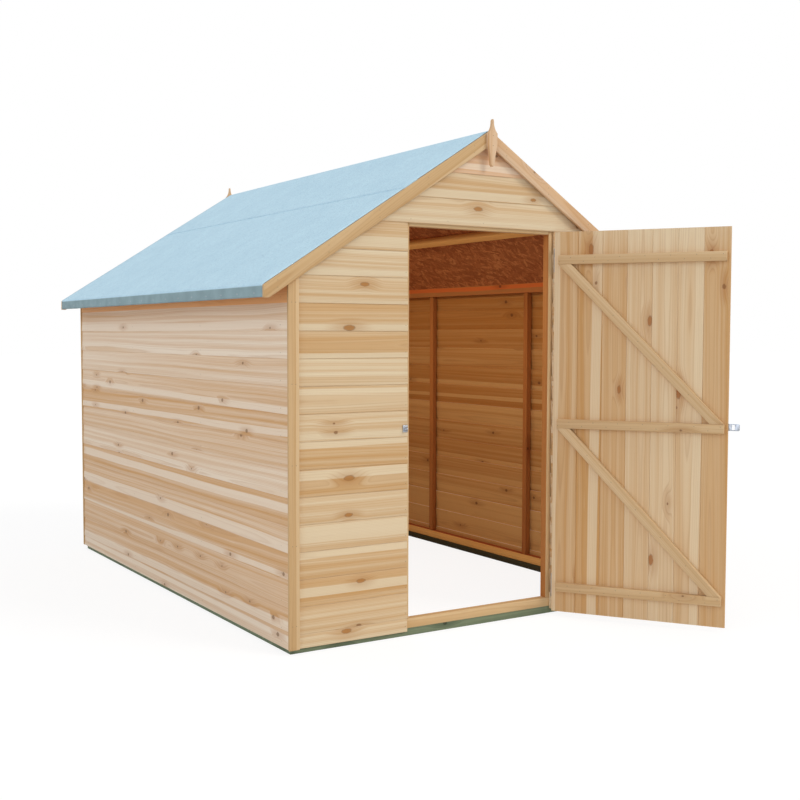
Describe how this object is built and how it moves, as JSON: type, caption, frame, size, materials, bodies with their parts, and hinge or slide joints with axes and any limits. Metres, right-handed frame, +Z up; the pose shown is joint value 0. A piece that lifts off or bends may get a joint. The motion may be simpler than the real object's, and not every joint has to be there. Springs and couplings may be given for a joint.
{
  "type": "garden shed",
  "caption": "Small apex garden shed clad in overlapping timber boards, with felt roof, barge boards and a ledged door that swings out.",
  "frame": {"origin": "ground level under the middle of the front bearer, on the shed's middle plane", "axes": "+Z up; +X along the front, from the left corner to the right; +Y from the front to the back"},
  "size_m": [2.01, 3.2101, 2.055],
  "materials": {
    "cladding_timber": "dipped softwood boards, sawn, honey coloured with small knots",
    "frame_timber": "sawn softwood framing",
    "door_timber": "planed softwood boards",
    "trim_timber": "planed softwood trim",
    "treated_bearer": "pressure-treated softwood, grey green",
    "strand_board": "oriented strand board",
    "mineral_felt": "mineral-surfaced roofing felt, pale blue",
    "zinc_plate": "bright zinc plated steel"
  },
  "bodies": {
    "shed": {"front_bearer": "treated_bearer", "back_bearer": "treated_bearer", "side_bearers": "treated_bearer", "front_cladding_left": "cladding_timber", "front_cladding_right": "cladding_timber", "front_gable": "cladding_timber", "front_sill": "frame_timber", "door_post_left": "frame_timber", "door_post_right": "frame_timber", "door_lintel": "frame_timber", "front_corner_studs": "frame_timber", "front_gable_rails": "frame_timber", "back_gable_rails": "frame_timber", "left_cladding": "cladding_timber", "left_rails": "frame_timber", "left_studs": "frame_timber", "right_cladding": "cladding_timber", "right_rails": "frame_timber", "right_studs": "frame_timber", "back_cladding": "cladding_timber", "back_studs": "frame_timber", "back_rails": "frame_timber", "roof_board_left": "strand_board", "roof_board_right": "strand_board", "felt_left": "mineral_felt", "felt_right": "mineral_felt", "felt_ridge": "mineral_felt", "eaves_boards": "frame_timber", "purlins": "frame_timber", "front_barge_left": "trim_timber", "front_barge_right": "trim_timber", "back_barge_left": "trim_timber", "back_barge_right": "trim_timber", "front_finial": "trim_timber", "back_finial": "trim_timber", "front_corner_trims": "trim_timber", "rear_corner_trims": "trim_timber", "hinge_leaves": "zinc_plate", "staple": "zinc_plate"},
    "door": {"door_boards": "door_timber", "door_ledges": "door_timber", "door_braces": "door_timber", "hinge_straps": "zinc_plate", "hasp_plate": "zinc_plate"},
    "hasp": {"hasp_leaf": "zinc_plate"}
  },
  "joints": [
    {"name": "door_hinge", "type": "hinge", "parent": "shed", "child": "door", "pos_m": [0.349, -0.0385, 0.8], "axis": [0, 0, 1], "range_deg": [-124, 41]},
    {"name": "hasp_hinge", "type": "hinge", "parent": "door", "child": "hasp", "pos_m": [0.74881, -0.62946, 0.8255], "axis": [0, 0, 1], "range_deg": [0, 170]}
  ]
}
